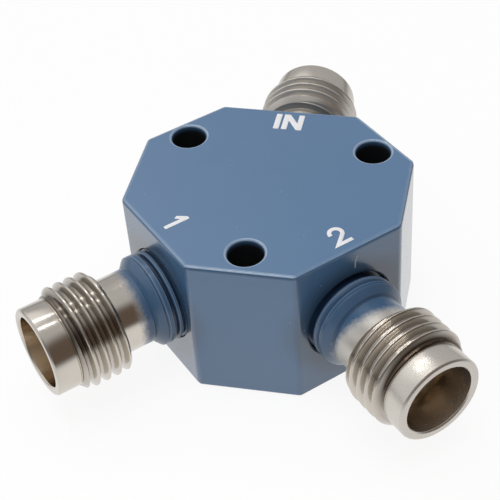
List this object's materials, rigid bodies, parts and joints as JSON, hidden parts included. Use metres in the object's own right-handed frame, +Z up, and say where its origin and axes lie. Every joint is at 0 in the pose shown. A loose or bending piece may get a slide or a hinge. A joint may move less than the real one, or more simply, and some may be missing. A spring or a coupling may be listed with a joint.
{
  "type": "rf power splitter",
  "caption": "Small octagonal painted metal block with threaded coaxial jacks on its sides and screw holes through it; divides a radio-frequency signal evenly between its outputs.",
  "frame": {"origin": "on the base plane, under the point where the three port axes meet, which is also the centre of the circle of mounting holes", "axes": "+Z up out of the marked top face, +Y out of the input port, +X to the right of it seen from above"},
  "size_m": [0.029, 0.0308, 0.0106],
  "materials": {
    "housing_paint": "satin grey-blue paint",
    "cover_paint": "satin grey-blue paint",
    "jack_steel": "turned and passivated, paint mist at the root",
    "sleeve_steel": "turned",
    "screw_steel": "turned",
    "contact_gold": "gold plated",
    "ring_gold": "gold plated",
    "pin_gold": "gold plated",
    "film_gold": "gold film",
    "film_resistor": "matt resistive film",
    "plate_ceramic": "as fired",
    "bead_resin": "machined",
    "seal_glass": "fused"
  },
  "bodies": {
    "root": {"housing": "housing_paint", "bottom_cover": "cover_paint", "cover_screws": "screw_steel", "splitter_plate": "plate_ceramic", "conductor_in": "film_gold", "conductor_1": "film_gold", "conductor_2": "film_gold", "film_resistor_1": "film_resistor", "film_resistor_2": "film_resistor", "jack_shell_in": "jack_steel", "jack_shell_1": "jack_steel", "jack_shell_2": "jack_steel", "line_sleeve_in": "sleeve_steel", "line_sleeve_1": "sleeve_steel", "line_sleeve_2": "sleeve_steel", "support_bead_in": "bead_resin", "support_bead_1": "bead_resin", "support_bead_2": "bead_resin", "centre_contact_in": "contact_gold", "centre_contact_1": "contact_gold", "centre_contact_2": "contact_gold", "seal_ring_in": "ring_gold", "seal_ring_1": "ring_gold", "seal_ring_2": "ring_gold", "seal_glass_in": "seal_glass", "seal_glass_1": "seal_glass", "seal_glass_2": "seal_glass", "seal_pin_in": "pin_gold", "seal_pin_1": "pin_gold", "seal_pin_2": "pin_gold"}
  },
  "joints": []
}
